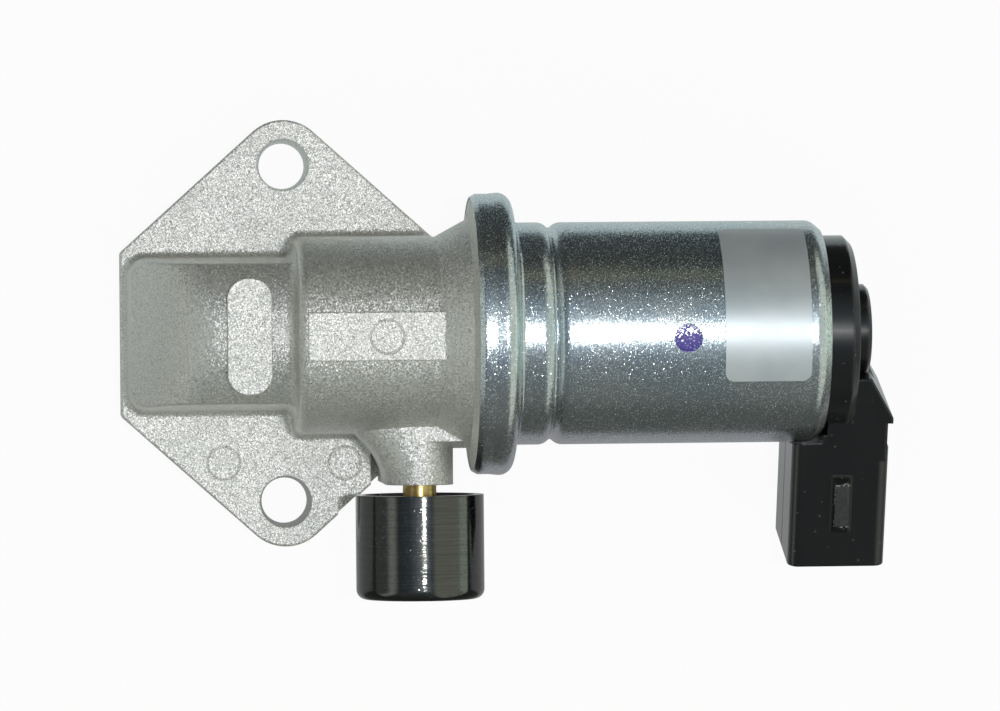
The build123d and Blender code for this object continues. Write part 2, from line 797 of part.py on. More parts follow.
with BuildPart() as coil_winding:
    with BuildSketch(station(bobbin_left + bobbin_flange)):
        Circle(winding_r)
        Circle(bobbin_tube_r, mode=Mode.SUBTRACT)
    extrude(amount=bobbin_right - bobbin_left - 2 * bobbin_flange)
    outer_edges = coil_winding.edges().filter_by(GeomType.CIRCLE).group_by(SortBy.RADIUS)[-1]
    fillet(outer_edges, winding_edge_r)
finish(coil_winding, "coil_winding")

with BuildPart() as rear_pole_plate:
    with BuildSketch(station(bobbin_right)):
        Circle(can_bore_r - can_fit)
        Circle(sleeve_bore_r, mode=Mode.SUBTRACT)
    extrude(amount=rear_plate_thick)
    lead_slot = lead_r + lead_hole_clear
    with BuildSketch(connector_side):
        with Locations((bobbin_right, lead_height)):
            Rectangle(rear_plate_thick, 2 * lead_slot, align=(Align.MIN, Align.CENTER))
    extrude(amount=blade_pitch / 2 + lead_slot, both=True, mode=Mode.SUBTRACT)
finish(rear_pole_plate, "rear_pole_plate")

# Fixed core, with the spring's bore in front and the adjusting screw's bore behind
with BuildPart() as fixed_core:
    with BuildSketch(half_section):
        with BuildLine():
            thread_r = screw_r + screw_clear
            Polyline(
                (core_left, spring_bore_r), (core_left, sleeve_bore_r - pole_chamfer),
                (core_left + pole_chamfer, sleeve_bore_r), (rear_plate_right, sleeve_bore_r),
                (rear_plate_right, core_collar_r), (rear_plate_right + core_collar, core_collar_r),
                (rear_plate_right + core_collar, sleeve_bore_r), (core_right, sleeve_bore_r),
                (core_right, thread_r), (screw_left, thread_r), (screw_left, spring_bore_r),
                (core_left, spring_bore_r),
            )
        make_face()
    revolve(axis=solenoid_axis)
finish(fixed_core, "fixed_core")

with BuildPart() as adjusting_screw:
    with BuildSketch(station(screw_left)):
        Circle(screw_r)
    extrude(amount=screw_right - screw_left)
    chamfer(adjusting_screw.edges(), screw_chamfer)
    with BuildSketch(station(screw_right)):
        Rectangle(screw_slot_width, 3 * screw_r)
    extrude(amount=-screw_slot_depth, mode=Mode.SUBTRACT)
finish(adjusting_screw, "adjusting_screw")

# Return spring between the armature's counterbore and the adjusting screw
with BuildPart() as return_spring:
    spring_left = armature_right - spring_seat_depth + spring_end_gap + spring_wire_r
    spring_length = screw_left - spring_end_gap - spring_wire_r - spring_left
    with BuildLine():
        coil = Helix(
            pitch=spring_length / spring_turns, height=spring_length, radius=spring_mean_r,
            center=(spring_left, axis_y, axis_height), direction=(1, 0, 0),
        )
    with BuildSketch(Plane(coil @ 0, z_dir=coil % 0)):
        RegularPolygon(spring_wire_r, 6)
    sweep(is_frenet=True)
finish(return_spring, "return_spring")

# End cap moulded in one with the connector shroud
with BuildPart() as end_cap:
    cap_left = rear_plate_right

    # Neck and shroud of the connector
    with BuildSketch(connector_side) as neck_profile:
        with BuildLine():
            neck_floor = notch_end + shroud_wall
            Polyline(
                (neck_left, neck_top), (plug_end_x, neck_top), (neck_right, neck_knee),
                (neck_right, neck_foot), (notch_right, neck_foot + neck_edge_r / 2),
                (notch_right, neck_floor), (neck_left, neck_floor), (neck_left, neck_top),
            )
        make_face()
        knees = neck_profile.vertices().group_by(Axis.X)[-1]
        fillet(knees, neck_edge_r)
    extrude(amount=shroud_half_depth, both=True)
    with BuildSketch(connector.offset(shroud_top)):
        with Locations((blade_x, 0)):
            RectangleRounded(shroud_right - shroud_left, 2 * shroud_half_depth, shroud_corner_r)
    extrude(amount=shroud_mouth - shroud_top)
    with BuildSketch(connector_side):
        with Locations((notch_right, notch_end)):
            Rectangle(shroud_wall, shroud_wall + notch_end - shroud_top, align=(Align.MIN, Align.MAX))
    extrude(amount=can_r, both=True, mode=Mode.SUBTRACT)

    # Room for the can and for the plug
    with BuildSketch(station(can_end_x + can_wall / 2)):
        Circle(can_r + shroud_room)
    extrude(amount=-can_r, mode=Mode.SUBTRACT)
    with BuildSketch(station(cap_rear_x)):
        Circle(plug_r + plug_room)
    extrude(amount=can_r, mode=Mode.SUBTRACT)

    # Round body of the cap
    seal_width = 2 * rear_oring_r
    seal_floor_r = can_bore_r - can_fit - seal_width - 2 * can_fit
    with BuildSketch(half_section):
        with BuildLine():
            collar_right = cap_left + core_collar + can_fit
            Polyline(
                (cap_left, core_collar_r + can_fit), (cap_left, seal_floor_r),
                (cap_left + seal_width, seal_floor_r), (cap_left + seal_width, can_bore_r - can_fit),
                (can_rear_x - can_wall / 2, can_bore_r - can_fit),
                (can_rear_x + cap_shoulder, cap_r),
                (cap_rear_x - cap_chamfer, cap_r), (cap_rear_x, cap_r - cap_chamfer),
                (cap_rear_x, cap_hub_bore_r), (collar_right, cap_hub_bore_r),
                (collar_right, core_collar_r + can_fit), (cap_left, core_collar_r + can_fit),
            )
        make_face()
    revolve(axis=solenoid_axis)

    # Latch nib on the side facing away from the engine
    latch_plane = connector_front.offset(shroud_half_depth - shroud_wall / 2)
    latch_root = latch_height + shroud_wall / 2
    latch_x = (latch_left + latch_right) / 2
    with BuildSketch(latch_plane):
        with Locations((latch_x, -(latch_start + latch_end) / 2)):
            Rectangle(latch_right - latch_left, latch_end - latch_start)
    with BuildSketch(latch_plane.offset(latch_root)):
        with Locations((latch_x, -(latch_top_start + latch_top_end) / 2)):
            Rectangle(
                latch_right - latch_left - 2 * latch_side_slope, latch_top_end - latch_top_start
            )
    loft()

    # Socket, hub bore and the hollow round the hub
    with BuildSketch(connector.offset(shroud_mouth)):
        with Locations((blade_x, 0)):
            RectangleRounded(
                shroud_right - shroud_left - 2 * shroud_wall,
                2 * (shroud_half_depth - shroud_wall),
                shroud_corner_r / 2,
            )
    extrude(amount=-socket_depth, mode=Mode.SUBTRACT)
    with BuildSketch(station(collar_right)):
        Circle(cap_hub_bore_r)
    extrude(amount=neck_right - collar_right, mode=Mode.SUBTRACT)
    with BuildSketch(station(cap_left)):
        Circle(cap_r - cap_wall)
        Circle(cap_hub_r, mode=Mode.SUBTRACT)
    extrude(amount=cap_rear_x - cap_floor - cap_left, mode=Mode.SUBTRACT)

    # Slots for the two blades, from the hollow down into the socket
    for side in (-1, 1):
        with BuildSketch(connector.offset(arm_start)):
            with Locations((blade_x, side * blade_pitch / 2)):
                Rectangle(blade_width, blade_thick)
        extrude(amount=shroud_mouth - arm_start, mode=Mode.SUBTRACT)
finish(end_cap, "end_cap")

# Terminals: flat stampings, each a blade with an arm that reaches the coil's lead
for number, side in ((1, -1), (2, 1)):
    with BuildPart() as terminal:
        with BuildSketch(connector_side.offset(-side * blade_pitch / 2 - blade_thick / 2)):
            with BuildLine():
                blade_left = blade_x - blade_width / 2
                blade_right = blade_x + blade_width / 2
                blade_tip = shroud_mouth - blade_recess
                Polyline(
                    (arm_left, arm_start), (blade_right, arm_start),
                    (blade_right, blade_tip - blade_point),
                    (blade_x + blade_tip_width / 2, blade_tip),
                    (blade_x - blade_tip_width / 2, blade_tip),
                    (blade_left, blade_tip - blade_point), (blade_left, arm_end),
                    (arm_left, arm_end), (arm_left, arm_start),
                )
            make_face()
        extrude(amount=blade_thick)
    finish(terminal, f"terminal_{number}")

    # Lead from the end of the winding to the terminal's arm
    with BuildPart() as coil_lead:
        lead_left = bobbin_right - bobbin_flange
        with BuildSketch(station(lead_left)):
            lead_y = -lead_height * clock_cos - side * blade_pitch / 2 * clock_sin
            lead_z = -lead_height * clock_sin + side * blade_pitch / 2 * clock_cos
            with Locations((lead_y, lead_z)):
                RegularPolygon(lead_r, 8)
        extrude(amount=arm_left - lead_left)
    finish(coil_lead, f"coil_lead_{number}")

# Diode across the terminals, with its two wires
with BuildPart() as suppression_diode:
    for radius, length in ((diode_r, diode_length), (diode_lead_r, blade_pitch - blade_thick)):
        with BuildSketch(connector_front):
            with Locations((diode_x, -lead_height)):
                RegularPolygon(radius, 12)
        extrude(amount=length / 2, both=True)
finish(suppression_diode, "suppression_diode")

with BuildPart() as rear_o_ring:
    with BuildSketch(half_section):
        with Locations((cap_left + rear_oring_r, can_bore_r - can_fit - rear_oring_r)):
            Circle(rear_oring_r - oring_squeeze)
    revolve(axis=solenoid_axis)
finish(rear_o_ring, "rear_o_ring")

# Plug that seals the adjusting screw's bore
with BuildPart() as rear_plug:
    with BuildSketch(half_section):
        with BuildLine():
            stem_left = cap_rear_x - plug_stem
            Polyline(
                (stem_left, 0), (stem_left, cap_hub_bore_r - plug_edge_r),
                (stem_left + plug_edge_r, cap_hub_bore_r), (cap_rear_x, cap_hub_bore_r),
                (cap_rear_x, plug_r), (plug_end_x - plug_edge_r, plug_r),
                (plug_end_x, plug_r - plug_edge_r), (plug_end_x, 0), (stem_left, 0),
            )
        make_face()
    revolve(axis=solenoid_axis)
finish(rear_plug, "rear_plug")

# Vent: brass tube, turned cap and the foam ring inside it
with BuildPart() as vent_tube:
    with BuildSketch(Plane.XZ.offset(-boss_end_y - tube_seat_depth)):
        with Locations((boss_x, axis_height)):
            Circle(tube_r)
            Circle(tube_bore_r, mode=Mode.SUBTRACT)
    extrude(amount=tube_seat_depth + tube_reach)
    free_end = vent_tube.edges().group_by(Axis.Y)[0].sort_by(SortBy.RADIUS)[-1]
    chamfer(free_end, tube_chamfer)
finish(vent_tube, "vent_tube")

with BuildPart() as vent_cap:
    with BuildSketch(vent_section):
        with BuildLine():
            top = -vent_cap_top_y
            hub_top = -vent_hub_top_y
            bottom = -vent_cap_bottom_y
            floor = bottom - vent_cap_wall
            hub_r = tube_r + vent_hub_wall
            tube_end = -boss_end_y + tube_reach
            cap_inner_r = vent_cap_r - vent_cap_wall
            Polyline(
                (tube_r, hub_top), (hub_r, hub_top), (hub_r, floor), (cap_inner_r, floor),
                (cap_inner_r, top), (vent_cap_r, top), (vent_cap_r, bottom - vent_cap_edge_r),
            )
            RadiusArc(
                (vent_cap_r, bottom - vent_cap_edge_r), (vent_cap_r - vent_cap_edge_r, bottom),
                -vent_cap_edge_r,
            )
            Polyline(
                (vent_cap_r - vent_cap_edge_r, bottom), (0, bottom), (0, floor),
                (tube_bore_r, floor), (tube_bore_r, tube_end), (tube_r, tube_end),
                (tube_r, hub_top),
            )
        make_face()
    revolve(axis=vent_axis)
    with BuildSketch(Plane.XZ.offset(floor - vent_window_height)):
        with Locations((boss_x, axis_height)):
            Rectangle(2 * hub_r + vent_hub_wall, vent_window_width)
            Rectangle(vent_window_width, 2 * hub_r + vent_hub_wall)
    extrude(amount=vent_window_height, mode=Mode.SUBTRACT)
finish(vent_cap, "vent_cap")

with BuildPart() as vent_filter:
    with BuildSketch(Plane.XZ.offset(top + filter_recess)):
        with Locations((boss_x, axis_height)):
            Circle(cap_inner_r - filter_clear)
            Circle(hub_r + filter_clear, mode=Mode.SUBTRACT)
    extrude(amount=floor - top - filter_recess - filter_clear)
finish(vent_filter, "vent_filter")

# Blank label round part of the can
label_angle = radians(label_top_angle)
label_edge = Plane(
    origin=(0, axis_y, axis_height), x_dir=(1, 0, 0),
    z_dir=(0, -cos(label_angle), sin(label_angle)),
)
with BuildPart() as label:
    with BuildSketch(label_edge):
        with Locations((label_left, can_r)):
            Rectangle(label_right - label_left, label_thick, align=(Align.MIN, Align.MIN))
    revolve(axis=solenoid_axis, revolution_arc=label_top_angle - label_bottom_angle)
    fillet(label.edges().filter_by(lambda e: e.length < 1.01 * label_thick), label_corner_r)
finish(label, "label")
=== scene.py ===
import json
import random
from math import cos, pi, radians, sin, tan

import bmesh
import bpy
from mathutils import Matrix, Vector


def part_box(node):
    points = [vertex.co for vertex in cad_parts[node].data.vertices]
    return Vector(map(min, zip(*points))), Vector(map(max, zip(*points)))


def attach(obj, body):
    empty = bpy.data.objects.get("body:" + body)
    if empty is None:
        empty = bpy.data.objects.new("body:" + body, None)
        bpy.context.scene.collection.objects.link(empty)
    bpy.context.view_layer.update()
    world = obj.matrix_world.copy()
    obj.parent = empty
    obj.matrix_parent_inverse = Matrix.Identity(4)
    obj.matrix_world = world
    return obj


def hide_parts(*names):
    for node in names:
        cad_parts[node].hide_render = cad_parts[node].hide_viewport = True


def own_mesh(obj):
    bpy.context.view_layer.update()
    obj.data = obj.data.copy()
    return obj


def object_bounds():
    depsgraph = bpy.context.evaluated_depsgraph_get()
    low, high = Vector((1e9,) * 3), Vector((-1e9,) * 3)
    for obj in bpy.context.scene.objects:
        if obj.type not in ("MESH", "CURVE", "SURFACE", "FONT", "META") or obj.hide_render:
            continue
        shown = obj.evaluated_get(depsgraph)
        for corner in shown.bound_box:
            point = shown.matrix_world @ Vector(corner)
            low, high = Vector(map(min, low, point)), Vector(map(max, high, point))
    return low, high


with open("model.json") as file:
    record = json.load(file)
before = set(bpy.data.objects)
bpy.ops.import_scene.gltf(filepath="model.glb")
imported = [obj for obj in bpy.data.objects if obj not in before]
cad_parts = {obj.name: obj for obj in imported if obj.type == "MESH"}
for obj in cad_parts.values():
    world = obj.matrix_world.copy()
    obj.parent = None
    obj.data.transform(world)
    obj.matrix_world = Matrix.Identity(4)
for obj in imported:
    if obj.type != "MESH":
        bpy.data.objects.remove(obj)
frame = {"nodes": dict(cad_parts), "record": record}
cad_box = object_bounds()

# An idle air control valve: a sand cast body, a zinc plated solenoid can, a moulded end cap
# with its connector, and a turned vent cap on a brass tube. Everything is in metres.
MM = 0.001
nodes = frame["nodes"]
random.seed(7)

# Places taken from the frame
can_low, can_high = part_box("solenoid_can")
axis_y = (can_low.y + can_high.y) / 2
axis_z = (can_low.z + can_high.z) / 2
can_r = 19.0 * MM
can_high_r = can_high.z - axis_z
bead_over_lip = 0.38 * MM
crimp_left = 31.15 * MM
crimp_right = 33.90 * MM
connector_lean = radians(20.7)  # of the connector, about the can's axis
connector_half_depth = 9.5
latch_height = 2.0
latch_start = 23.5  # from the can's axis, down the connector
latch_end = 33.5
middle = (cad_box[0] + cad_box[1]) / 2

# The photograph's camera, 0.93 m above the mounting face
camera_place = Vector((-36.11, 1.29, 929.0)) * MM
camera_pitch = radians(-4.58)  # about Y
camera_lean = radians(-0.30)  # about X
camera_roll = radians(-0.52)
camera_lens = 190.8
sensor_width = 36.0


class Shader:
    """One material, with short calls for the nodes that this scene uses. Sizes are in millimetres."""

    def __init__(self, name, **sockets):
        self.material = bpy.data.materials.new(name)
        self.material.use_nodes = True
        self.tree = self.material.node_tree
        self.surface = self.tree.nodes["Principled BSDF"]
        for socket, value in sockets.items():
            self.set(socket.replace("_", " "), value)
        coords = self.node("ShaderNodeTexCoord")
        scaled = self.node("ShaderNodeVectorMath", operation="SCALE")
        self.tree.links.new(coords.outputs["Object"], scaled.inputs[0])
        scaled.inputs["Scale"].default_value = 1 / MM
        self.place = scaled.outputs["Vector"]

    def node(self, kind, **settings):
        made = self.tree.nodes.new(kind)
        for name, value in settings.items():
            setattr(made, name, value)
        return made

    def set(self, socket, value):
        """Sets a socket of the surface, written in lower case, to a constant or a node's output."""
        target = next(s for s in self.surface.inputs if s.name.lower() == socket.lower())
        if isinstance(value, bpy.types.NodeSocket):
            self.tree.links.new(value, target)
        elif isinstance(value, tuple):
            target.default_value = (*value, 1.0)
        else:
            target.default_value = value

    def stretched(self, factors):
        """The place, stretched by a factor along each axis, for grain that runs one way."""
        made = self.node("ShaderNodeVectorMath", operation="MULTIPLY")
        self.tree.links.new(self.place, made.inputs[0])
        made.inputs[1].default_value = factors
        return made.outputs["Vector"]

    def noise(self, size, detail=2.0, roughness=0.5, place=None):
        """Noise whose features are about size across, from 0 to 1."""
        made = self.node("ShaderNodeTexNoise")
        self.tree.links.new(place or self.place, made.inputs["Vector"])
        made.inputs["Scale"].default_value = 1 / size
        made.inputs["Detail"].default_value = detail
        made.inputs["Roughness"].default_value = roughness
        return made.outputs["Fac"]

    def cells(self, size, output="Color", place=None):
        """Voronoi cells about size across: a random value for each, or the distance to its centre."""
        made = self.node("ShaderNodeTexVoronoi")
        self.tree.links.new(place or self.place, made.inputs["Vector"])
        made.inputs["Scale"].default_value = 1 / size
        if output == "Distance":
            return made.outputs["Distance"]
        split = self.node("ShaderNodeSeparateColor")
        self.tree.links.new(made.outputs["Color"], split.inputs["Color"])
        return split.outputs["Red"]

    def along(self, axis):
        """The coordinate along one axis, in millimetres."""
        made = self.node("ShaderNodeSeparateXYZ")
        self.tree.links.new(self.place, made.inputs["Vector"])
        return made.outputs[axis]

    def span(self, value, low, high, to_low=0.0, to_high=1.0, smooth=False):
        """Maps value from low..high to to_low..to_high, clamped."""
        made = self.node("ShaderNodeMapRange")
        if smooth:
            made.interpolation_type = "SMOOTHSTEP"
        self.tree.links.new(value, made.inputs["Value"])
        for name, number in (
            ("From Min", low), ("From Max", high), ("To Min", to_low), ("To Max", to_high)
        ):
            made.inputs[name].default_value = number
        return made.outputs["Result"]

    def math(self, operation, a, b):
        made = self.node("ShaderNodeMath", operation=operation)
        for socket, value in zip(made.inputs, (a, b)):
            if isinstance(value, bpy.types.NodeSocket):
                self.tree.links.new(value, socket)
            else:
                socket.default_value = value
        return made.outputs["Value"]

    def mix(self, factor, first, second):
        """A colour between two, each a colour or a node's output."""
        made = self.node("ShaderNodeMix", data_type="RGBA")
        self.tree.links.new(factor, made.inputs["Factor"])
        for socket, value in ((made.inputs[6], first), (made.inputs[7], second)):
            if isinstance(value, bpy.types.NodeSocket):
                self.tree.links.new(value, socket)
            else:
                socket.default_value = (*value, 1.0)
        return made.outputs[2]

    def soft_edges(self, radius):
        """The surface's normal, with edges rounded by a radius."""
        made = self.node("ShaderNodeBevel", samples=4)
        made.inputs["Radius"].default_value = radius * MM
        return made.outputs["Normal"]

    def facets(self, size, lean, over=None):
        """The normal of small crystals, each about size across and leaning its own way."""
        crystals = self.node("ShaderNodeTexVoronoi")
        self.tree.links.new(self.place, crystals.inputs["Vector"])
        crystals.inputs["Scale"].default_value = 1 / size
        centred = self.node("ShaderNodeVectorMath", operation="SUBTRACT")
        self.tree.links.new(crystals.outputs["Color"], centred.inputs[0])
        centred.inputs[1].default_value = (0.5, 0.5, 0.5)
        leaning = self.node("ShaderNodeVectorMath", operation="SCALE")
        self.tree.links.new(centred.outputs["Vector"], leaning.inputs[0])
        if isinstance(lean, bpy.types.NodeSocket):
            self.tree.links.new(lean, leaning.inputs["Scale"])
        else:
            leaning.inputs["Scale"].default_value = lean
        if over is None:
            over = self.node("ShaderNodeNewGeometry").outputs["Normal"]
        total = self.node("ShaderNodeVectorMath", operation="ADD")
        self.tree.links.new(over, total.inputs[0])
        self.tree.links.new(leaning.outputs["Vector"], total.inputs[1])
        unit = self.node("ShaderNodeVectorMath", operation="NORMALIZE")
        self.tree.links.new(total.outputs["Vector"], unit.inputs[0])
        return unit.outputs["Vector"]

    def bump(self, height, depth, over=None):
        """Turns a height from 0 to 1 into bump of a real depth, over an earlier bump."""
        made = self.node("ShaderNodeBump")
        made.inputs["Strength"].default_value = 1.0
        made.inputs["Distance"].default_value = depth * MM
        self.tree.links.new(height, made.inputs["Height"])
        if over is not None:
            self.tree.links.new(over, made.inputs["Normal"])
        return made.outputs["Normal"]


def cast_aluminium():
    """Sand cast and shot blasted: a fine salt and pepper grain over slow clouds."""
    s = Shader("cast_aluminium", metallic=0.80)
    grain = s.noise(0.20, detail=2.0, roughness=0.7)
    flecks = s.cells(0.19)
    pits = s.cells(0.22, place=s.stretched((1.0, 1.0, 1.3)))
    clouds = s.noise(9.0, detail=3.0)
    tone = s.mix(s.span(grain, 0.32, 0.62), (0.55, 0.55, 0.52), (0.90, 0.895, 0.86))
    tone = s.mix(s.span(flecks, 0.80, 0.96, 0.0, 0.6), tone, (1.0, 0.995, 0.97))
    tone = s.mix(s.span(pits, 0.86, 0.98, 0.0, 0.6), tone, (0.34, 0.345, 0.325))
    tone = s.mix(s.span(clouds, 0.45, 0.75, 0.0, 0.15), tone, (0.66, 0.67, 0.63))
    s.set("base color", tone)
    s.set("roughness", s.span(clouds, 0.3, 0.7, 0.40, 0.46))
    rough = s.bump(grain, 0.035, over=s.soft_edges(0.25))
    s.set("normal", s.facets(0.18, 0.47, over=rough))
    return s.material


def plated_steel():
    """Zinc plating with a clear blue passivation: bright, finely crystalline and a little scratched."""
    s = Shader("plated_steel", metallic=1.0)
    crystals = s.cells(0.20)
    peel = s.noise(0.42, detail=2.0)
    clouds = s.noise(14.0, detail=2.0)
    side = s.along("Y")
    tone = s.mix(s.span(clouds, 0.35, 0.65), (0.56, 0.66, 0.71), (0.66, 0.72, 0.73))
    tone = s.mix(s.span(side, -17.0, -8.0, 0.5, 0.0), tone, (0.72, 0.66, 0.70))
    tone = s.mix(s.span(crystals, 0.86, 1.0, 0.0, 0.7), tone, (0.92, 0.95, 0.97))
    scratch = s.noise(1.0, detail=1.0, place=s.stretched((0.35, 3.2, 0.9)))
    marks = s.span(scratch, 0.735, 0.755)
    s.set("base color", s.mix(marks, tone, (0.95, 0.97, 0.97)))
    s.set("roughness", s.span(clouds, 0.3, 0.7, 0.17, 0.23))
    skin = s.bump(peel, 0.006)
    few = s.span(s.cells(0.11, place=s.stretched((1.0, 1.0, 0.8))), 0.62, 1.0, 0.10, 0.95)
    s.set("normal", s.facets(0.11, few, over=skin))
    return s.material


def machined_steel(name="steel", tone=(0.52, 0.53, 0.54), roughness=0.3):
    """Turned steel, with fine rings round the solenoid's axis."""
    s = Shader(name, metallic=1.0)
    rings = s.noise(0.12, detail=1.0, place=s.stretched((1.0, 0.02, 0.02)))
    stain = s.noise(5.0, detail=3.0)
    s.set("base color", s.mix(s.span(stain, 0.4, 0.7), tone, tuple(0.8 * c for c in tone)))
    s.set("roughness", s.span(stain, 0.3, 0.7, roughness, roughness + 0.12))
    s.set("normal", s.bump(rings, 0.004))
    return s.material


def brass():
    """Drawn brass tube, dulled in places."""
    s = Shader("brass", metallic=1.0)
    stain = s.noise(1.4, detail=4.0)
    s.set("base color", s.mix(s.span(stain, 0.4, 0.68), (0.80, 0.60, 0.25), (0.42, 0.29, 0.12)))
    s.set("roughness", s.span(stain, 0.3, 0.7, 0.20, 0.42))
    s.set("normal", s.bump(s.noise(0.15, place=s.stretched((1.0, 0.1, 1.0))), 0.003))
    return s.material


def bronze():
    s = Shader("bronze", metallic=1.0)
    pores = s.cells(0.16, output="Distance")
    s.set("base color", s.mix(s.span(pores, 0.0, 0.25), (0.25, 0.15, 0.07), (0.56, 0.36, 0.17)))
    s.set("roughness", s.span(pores, 0.0, 0.4, 0.6, 0.38))
    s.set("normal", s.bump(pores, 0.01))
    return s.material


def copper_winding():
    """Enamelled wire, wound turn beside turn, with painted shade in the grooves between turns."""
    s = Shader("copper_winding", metallic=0.85, roughness=0.28, coat_weight=0.6)
    turns = s.node("ShaderNodeTexWave", wave_type="BANDS", bands_direction="X")
    s.tree.links.new(s.place, turns.inputs["Vector"])
    turns.inputs["Scale"].default_value = 1.0
    height = turns.outputs["Fac"]
    # The bump's height also darkens the colour in the grooves between turns: painted shade
    s.set("base color", s.mix(height, (0.30, 0.09, 0.03), (0.74, 0.32, 0.13)))
    s.set("normal", s.bump(height, 0.12))
    return s.material


def bobbin_plastic():
    """Pale glass filled plastic with faint flow marks."""
    s = Shader("bobbin_plastic")
    skin = s.noise(0.16, detail=3.0, roughness=0.6)
    flow = s.noise(6.0, detail=2.0, place=s.stretched((1.0, 0.35, 1.0)))
    s.set("base color", s.mix(s.span(flow, 0.35, 0.7), (0.62, 0.58, 0.48), (0.68, 0.65, 0.56)))
    s.set("roughness", s.span(flow, 0.3, 0.7, 0.45, 0.55))
    s.set("normal", s.bump(skin, 0.006))
    return s.material


def black_plastic():
    """The end cap's polished skin: parting line, pale nicks, and a latch rubbed by its plug, with a
    painted highlight along the latch's rim.
    """
    s = Shader("black_plastic", coat_weight=0.7, coat_roughness=0.07)
    across = s.math("SUBTRACT", s.along("Y"), axis_y / MM)
    upward = s.math("SUBTRACT", s.along("Z"), axis_z / MM)
    lean, plumb = sin(connector_lean), cos(connector_lean)
    front = s.math("SUBTRACT", s.math("MULTIPLY", upward, plumb), s.math("MULTIPLY", across, lean))
    down = s.math("ADD", s.math("MULTIPLY", upward, lean), s.math("MULTIPLY", across, plumb))
    flow = s.noise(6.0, detail=2.0, place=s.stretched((1.0, 0.35, 1.0)))
    tone = s.mix(s.span(flow, 0.35, 0.7), (0.0040, 0.0042, 0.0050), (0.0080, 0.0082, 0.0090))
    tone = s.mix(s.span(s.cells(0.35), 0.996, 1.0, 0.0, 0.3), tone, (0.30, 0.31, 0.32))

    # Rubbed latch: a grey top, and bright specks along its rim that are partly worn burrs and partly a
    # painted highlight on its sloping sides
    top = connector_half_depth + latch_height
    on_latch = s.math("MULTIPLY", s.span(down, -latch_start + 0.4, -latch_start - 0.4),
                      s.span(down, -latch_end - 0.4, -latch_end + 0.4))
    rubbed = s.math("MULTIPLY", s.span(front, top - 0.30, top - 0.10), on_latch)
    streaks = s.noise(0.5, detail=3.0, place=s.stretched((1.0, 0.5, 1.0)))
    tone = s.mix(s.math("MULTIPLY", rubbed, s.span(streaks, 0.3, 0.6, 0.5, 1.0)), tone,
                 (0.040, 0.043, 0.046))
    # Bright specks on the latch's sloping rim: painted highlight, partly worn burrs
    rim = s.math("MULTIPLY", s.span(front, top - 0.9, top - 0.3), s.span(front, top, top - 0.05))
    burr_specks_and_highlight = s.math("MULTIPLY", s.math("MULTIPLY", rim, on_latch), s.span(s.cells(0.28), 0.72, 0.80))
    tone = s.mix(burr_specks_and_highlight, tone, (0.55, 0.57, 0.58))

    # Parting line at half the connector's depth
    line = s.span(s.math("ABSOLUTE", front, 0.0), 0.35, 0.60, 1.0, 0.0)
    line = s.math("MULTIPLY", line, s.span(down, -16.0, -20.0))
    s.set("base color", s.mix(line, tone, (0.001, 0.001, 0.001)))
    s.set("coat weight", s.span(s.math("MAXIMUM", line, rubbed), 0.0, 1.0, 0.7, 0.1))
    s.set("specular ior level", s.span(line, 0.0, 1.0, 0.5, 0.15))
    s.set("roughness", s.span(rubbed, 0.0, 1.0, 0.22, 0.5))
    skin = s.noise(0.16, detail=3.0, roughness=0.6)
    rounded = s.soft_edges(0.7)
    s.set("normal", s.bump(skin, 0.006, over=rounded))
    s.set("coat normal", rounded)
    return s.material


def gloss_black():
    """Turned and black anodised vent cap: a hard gloss over fine turning lines."""
    s = Shader("gloss_black", metallic=1.0, coat_weight=0.4)
    s.set("coat roughness", 0.05)
    lines = s.noise(0.22, detail=2.0, place=s.stretched((0.02, 1.0, 0.02)))
    s.set("base color", s.mix(s.span(lines, 0.36, 0.62), (0.084, 0.086, 0.081), (0.112, 0.116, 0.109)))
    patches = s.noise(3.0, detail=3.0)
    s.set("roughness", s.span(patches, 0.35, 0.7, 0.07, 0.12))
    turned = s.bump(lines, 0.013, over=s.soft_edges(0.4))
    s.set("normal", s.facets(0.14, s.span(s.cells(0.14), 0.90, 1.0, 0.0, 0.5), over=turned))
    return s.material


def seal_rubber():
    s = Shader("seal_rubber", base_color=(0.018, 0.018, 0.019), roughness=0.62)
    s.set("normal", s.bump(s.noise(0.3, detail=3.0), 0.02))
    return s.material


def filter_foam():
    """Open cell foam: pale struts round pores that are darkened with painted shade."""
    s = Shader("filter_foam", roughness=0.95)
    pores = s.cells(0.75, output="Distance")
    # Darker towards each pore's middle: painted shade in the foam's openings
    s.set("base color", s.mix(s.span(pores, 0.1, 0.5), (0.012, 0.012, 0.013), (0.10, 0.10, 0.105)))
    s.set("normal", s.bump(pores, 0.30))
    return s.material


def tin_plate():
    s = Shader("tin_plate", metallic=1.0)
    stain = s.noise(1.2, detail=3.0)
    s.set("base color", s.mix(s.span(stain, 0.4, 0.7), (0.78, 0.77, 0.74), (0.60, 0.59, 0.56)))
    s.set("roughness", s.span(stain, 0.3, 0.7, 0.26, 0.42))
    s.set("normal", s.bump(s.noise(0.2, place=s.stretched((1.0, 0.15, 1.0))), 0.004))
    return s.material


def label_foil():
    """Satin silver foil with nothing printed on it."""
    s = Shader("label_foil", metallic=0.55)
    weave = s.noise(0.11, detail=2.0)
    clouds = s.noise(7.0, detail=2.0)
    s.set("base color", s.mix(s.span(clouds, 0.35, 0.7), (0.66, 0.725, 0.765), (0.74, 0.785, 0.815)))
    s.set("roughness", s.span(clouds, 0.3, 0.7, 0.40, 0.46))
    s.set("normal", s.bump(weave, 0.003))
    return s.material


